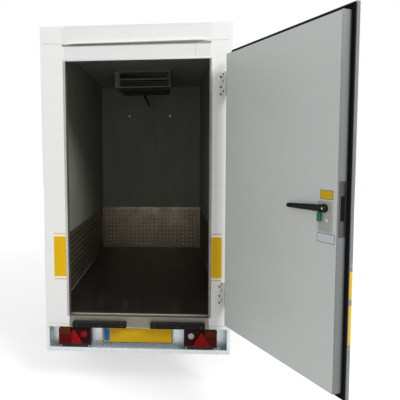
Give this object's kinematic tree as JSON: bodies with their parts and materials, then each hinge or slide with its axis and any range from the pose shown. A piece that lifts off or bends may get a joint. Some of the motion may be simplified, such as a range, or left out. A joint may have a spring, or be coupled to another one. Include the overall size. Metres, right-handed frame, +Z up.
{
  "type": "refrigerated box trailer",
  "caption": "Insulated single-axle box trailer with a rear hinged door, ceiling evaporator, outside condensing unit, V drawbar and jockey wheel.",
  "frame": {"origin": "centre of the towing ball in the coupling's socket, 430 mm above the ground", "axes": "+Y forwards along the drawbar, +X to the trailer's right, +Z up; the rear face of the box is 3780 mm behind the origin"},
  "size_m": [1.8516, 4.9001, 2.703],
  "materials": {
    "panel": "gloss white polyester skin over foam",
    "floor_board": "phenolic faced plywood, fine wire mesh pattern",
    "white_profile": "white powder-coated extrusion",
    "tread_plate": "bright five-bar tread plate",
    "evaporator_case": "painted casing",
    "evaporator_tray": "dark drip tray",
    "unit_cover": "moulded white cover",
    "zinc": "hot-dip galvanised, spangled",
    "lamp": "red and amber lenses on black base",
    "black_plastic": "moulded black",
    "plate_yellow": "blank yellow reflective plate",
    "buffer_rubber": "matt rubber",
    "gaiter_rubber": "folded rubber bellows",
    "pipe_foam": "black foam sleeve and hose",
    "guard_wire": "black coated wire",
    "marker": "amber and clear lenses",
    "guard_plastic": "moulded black mudguard",
    "cast_black": "black painted pressed steel",
    "tyre": "road tyre",
    "rim_silver": "silver painted steel",
    "jockey_tyre": "solid rubber on steel rim",
    "door_skin": "gloss white door leaf",
    "door_lining": "light grey satin lining",
    "seal": "soft black seal",
    "stainless": "brushed",
    "escutcheon_grey": "pale grey moulding with green knob",
    "hinge_white": "white painted steel"
  },
  "bodies": {
    "trailer": {"floor_panel": "panel", "floor_deck": "floor_board", "side_walls": "panel", "front_wall": "panel", "roof_panel": "panel", "roof_rails": "white_profile", "front_corner_posts": "white_profile", "rear_posts": "white_profile", "rear_header": "white_profile", "rear_sill": "zinc", "rain_gutter": "white_profile", "tread_plate_lining": "tread_plate", "evaporator_casing": "evaporator_case", "evaporator_tray": "evaporator_tray", "evaporator_pipes": "pipe_foam", "condenser_wall_rails": "zinc", "condenser_housing": "unit_cover", "fan_guard": "guard_wire", "lamp_bar": "zinc", "tail_lamps": "lamp", "plate_holder": "black_plastic", "number_plate": "plate_yellow", "rubber_buffers": "buffer_rubber", "marker_lamps": "marker", "power_inlet": "black_plastic", "chassis_rails": "zinc", "cross_members": "zinc", "drawbar_arms": "zinc", "axle_tube": "zinc", "axle_arms": "cast_black", "mudguards": "guard_plastic", "coupling_head": "zinc", "coupling_handle": "cast_black", "overrun_gaiter": "gaiter_rubber", "overrun_housing": "cast_black", "handbrake_lever": "zinc", "jack_outer_tube": "zinc", "frame_hinges": "hinge_white"},
    "door": {"door_leaf": "door_skin", "door_block": "door_lining", "door_seal": "seal", "lock_faceplate": "stainless", "escutcheon": "escutcheon_grey", "inside_lever": "black_plastic", "outside_handle": "black_plastic", "door_hinges": "hinge_white"},
    "wheel_left": {"road_tyre_left": "tyre", "road_rim_left": "rim_silver"},
    "wheel_right": {"road_tyre_right": "tyre", "road_rim_right": "rim_silver"},
    "condenser_fan": {"condenser_fan": "black_plastic"},
    "jack_leg": {"jack_leg": "zinc"},
    "jockey_fork": {"jockey_fork": "zinc"},
    "jockey_wheel": {"jockey_wheel": "jockey_tyre"}
  },
  "joints": [
    {"name": "door_hinge", "type": "hinge", "parent": "trailer", "child": "door", "pos_m": [0.636, -3.801, 1.1], "axis": [0, 0, 1], "range_deg": [-114.65, 65]},
    {"name": "wheel_left_spin", "type": "hinge", "parent": "trailer", "child": "wheel_left", "pos_m": [-0.6, -2.6, -0.202], "axis": [1, 0, 0], "continuous": true},
    {"name": "wheel_right_spin", "type": "hinge", "parent": "trailer", "child": "wheel_right", "pos_m": [0.6, -2.6, -0.202], "axis": [1, 0, 0], "continuous": true},
    {"name": "jack_slide", "type": "slide", "parent": "trailer", "child": "jack_leg", "axis": [0, 0, 1], "range_m": [-0.08, 0.12]},
    {"name": "jockey_swivel", "type": "hinge", "parent": "jack_leg", "child": "jockey_fork", "pos_m": [0.132, -0.54, -0.218], "axis": [0, 0, 1], "continuous": true},
    {"name": "fan_spin", "type": "hinge", "parent": "trailer", "child": "condenser_fan", "pos_m": [-0.167, -0.874, 1.668], "axis": [0, 1, 0], "continuous": true},
    {"name": "jockey_spin", "type": "hinge", "parent": "jockey_fork", "child": "jockey_wheel", "pos_m": [0.132, -0.57, -0.33], "axis": [1, 0, 0], "continuous": true}
  ]
}
